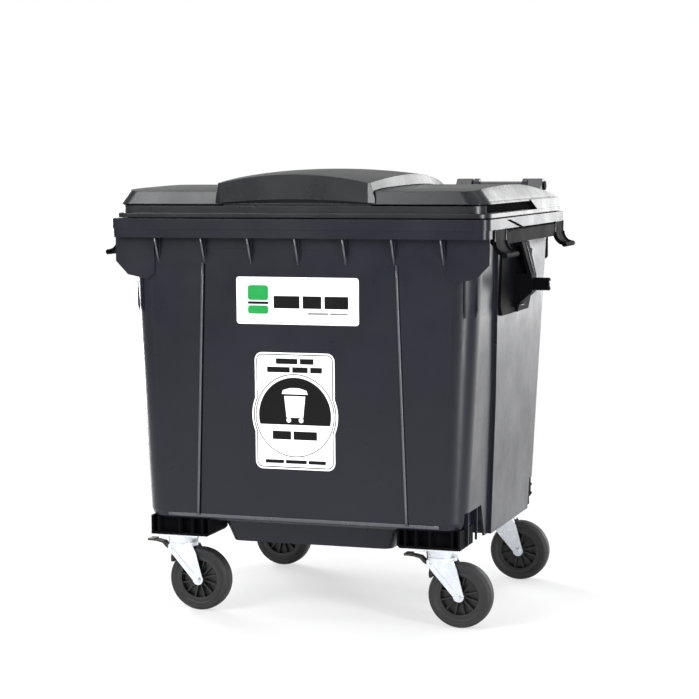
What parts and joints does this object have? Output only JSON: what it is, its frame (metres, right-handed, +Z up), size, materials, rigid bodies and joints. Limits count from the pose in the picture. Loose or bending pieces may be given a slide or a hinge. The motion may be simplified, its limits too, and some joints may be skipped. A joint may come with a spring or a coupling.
{
  "type": "wheelie bin",
  "caption": "Large wheeled refuse container: tapered moulded tub with comb rim, hinged lid with a smaller lid in it, side grips, lifting trunnions, rear grip bars and swivel castors.",
  "frame": {"origin": "middle of the bin's outer footprint, on the floor", "axes": "+Z up, +X along the trunnions to the right seen from the front, the front wall faces -Y"},
  "size_m": [1.37, 1.0594, 1.3886],
  "materials": {
    "body_plastic": "moulded, semi-gloss",
    "lid_plastic": "moulded, semi-gloss",
    "black_plastic": "textured",
    "trunnion_black": "black coated",
    "grip_tube": "dark coated",
    "lever_black": "coated",
    "zinc_steel": "bright zinc",
    "race_steel": "greased",
    "hub_plastic": "moulded",
    "tyre_rubber": "solid rubber",
    "seal_rubber": "matt",
    "label_film": "printed film"
  },
  "bodies": {
    "tub": {"tub": "body_plastic", "label_upper": "label_film", "label_lower": "label_film", "grip_bar_right": "grip_tube", "grip_bar_left": "grip_tube", "grip_bar_caps": "black_plastic", "castor_fixing_bolts": "zinc_steel", "castor_king_bolts": "zinc_steel", "castor_blocks": "black_plastic", "rear_bumpers": "black_plastic", "side_grip_right": "black_plastic", "trunnion_bracket_right": "black_plastic", "trunnion_pin_right": "trunnion_black", "trunnion_bolt_right": "zinc_steel", "trunnion_fixings_right": "zinc_steel", "side_grip_left": "black_plastic", "trunnion_bracket_left": "black_plastic", "trunnion_pin_left": "trunnion_black", "trunnion_bolt_left": "zinc_steel", "trunnion_fixings_left": "zinc_steel", "castor_fl_plate": "zinc_steel", "castor_fl_balls": "race_steel", "castor_fr_plate": "zinc_steel", "castor_fr_balls": "race_steel", "castor_rl_plate": "zinc_steel", "castor_rl_balls": "race_steel", "castor_rr_plate": "zinc_steel", "castor_rr_balls": "race_steel"},
    "lid": {"main_lid": "lid_plastic", "lid_buffers": "seal_rubber", "small_lid_hinge_pins": "zinc_steel"},
    "small_lid": {"small_lid": "lid_plastic"},
    "drain_plug": {"drain_plug": "black_plastic", "drain_seal": "seal_rubber"},
    "castor_fl_swivel": {"castor_fl_fork": "zinc_steel", "castor_fl_axle_bolt": "zinc_steel", "castor_fl_bearing_tube": "race_steel", "castor_fl_brake_pin": "zinc_steel"},
    "castor_fl_wheel": {"castor_fl_hub": "hub_plastic", "castor_fl_tyre": "tyre_rubber"},
    "castor_fl_brake": {"castor_fl_brake_lever": "lever_black", "castor_fl_brake_shoe": "seal_rubber"},
    "castor_fr_swivel": {"castor_fr_fork": "zinc_steel", "castor_fr_axle_bolt": "zinc_steel", "castor_fr_bearing_tube": "race_steel", "castor_fr_brake_pin": "zinc_steel"},
    "castor_fr_wheel": {"castor_fr_hub": "hub_plastic", "castor_fr_tyre": "tyre_rubber"},
    "castor_fr_brake": {"castor_fr_brake_lever": "lever_black", "castor_fr_brake_shoe": "seal_rubber"},
    "castor_rl_swivel": {"castor_rl_fork": "zinc_steel", "castor_rl_axle_bolt": "zinc_steel", "castor_rl_bearing_tube": "race_steel"},
    "castor_rl_wheel": {"castor_rl_hub": "hub_plastic", "castor_rl_tyre": "tyre_rubber"},
    "castor_rr_swivel": {"castor_rr_fork": "zinc_steel", "castor_rr_axle_bolt": "zinc_steel", "castor_rr_bearing_tube": "race_steel"},
    "castor_rr_wheel": {"castor_rr_hub": "hub_plastic", "castor_rr_tyre": "tyre_rubber"}
  },
  "joints": [
    {"name": "lid_hinge", "type": "hinge", "parent": "tub", "child": "lid", "pos_m": [0, 0.50575, 1.325], "axis": [-1, 0, 0], "range_deg": [0, 265]},
    {"name": "small_lid_hinge", "type": "hinge", "parent": "lid", "child": "small_lid", "pos_m": [0, 0.27575, 1.329], "axis": [1, 0, 0], "range_deg": [-105, 0]},
    {"name": "drain_plug_pull", "type": "slide", "parent": "tub", "child": "drain_plug", "axis": [0, 0, -1], "range_m": [0, 0.1]},
    {"name": "castor_fl_swivel_turn", "type": "hinge", "parent": "tub", "child": "castor_fl_swivel", "pos_m": [-0.426, -0.39825, 0.21], "axis": [0, 0, 1], "continuous": true},
    {"name": "castor_fl_wheel_spin", "type": "hinge", "parent": "castor_fl_swivel", "child": "castor_fl_wheel", "pos_m": [-0.366, -0.39825, 0.1], "axis": [0, 1, 0], "continuous": true},
    {"name": "castor_fl_brake_press", "type": "hinge", "parent": "castor_fl_swivel", "child": "castor_fl_brake", "pos_m": [-0.458, -0.39825, 0.192], "axis": [0, -1, 0], "range_deg": [0, 4.5]},
    {"name": "castor_fr_swivel_turn", "type": "hinge", "parent": "tub", "child": "castor_fr_swivel", "pos_m": [0.426, -0.39825, 0.21], "axis": [0, 0, 1], "continuous": true},
    {"name": "castor_fr_wheel_spin", "type": "hinge", "parent": "castor_fr_swivel", "child": "castor_fr_wheel", "pos_m": [0.486, -0.39825, 0.1], "axis": [0, 1, 0], "continuous": true},
    {"name": "castor_fr_brake_press", "type": "hinge", "parent": "castor_fr_swivel", "child": "castor_fr_brake", "pos_m": [0.394, -0.39825, 0.192], "axis": [0, -1, 0], "range_deg": [0, 4.5]},
    {"name": "castor_rl_swivel_turn", "type": "hinge", "parent": "tub", "child": "castor_rl_swivel", "pos_m": [-0.426, 0.34875, 0.21], "axis": [0, 0, 1], "continuous": true},
    {"name": "castor_rl_wheel_spin", "type": "hinge", "parent": "castor_rl_swivel", "child": "castor_rl_wheel", "pos_m": [-0.366, 0.34875, 0.1], "axis": [0, 1, 0], "continuous": true},
    {"name": "castor_rr_swivel_turn", "type": "hinge", "parent": "tub", "child": "castor_rr_swivel", "pos_m": [0.426, 0.34875, 0.21], "axis": [0, 0, 1], "continuous": true},
    {"name": "castor_rr_wheel_spin", "type": "hinge", "parent": "castor_rr_swivel", "child": "castor_rr_wheel", "pos_m": [0.486, 0.34875, 0.1], "axis": [0, 1, 0], "continuous": true}
  ]
}
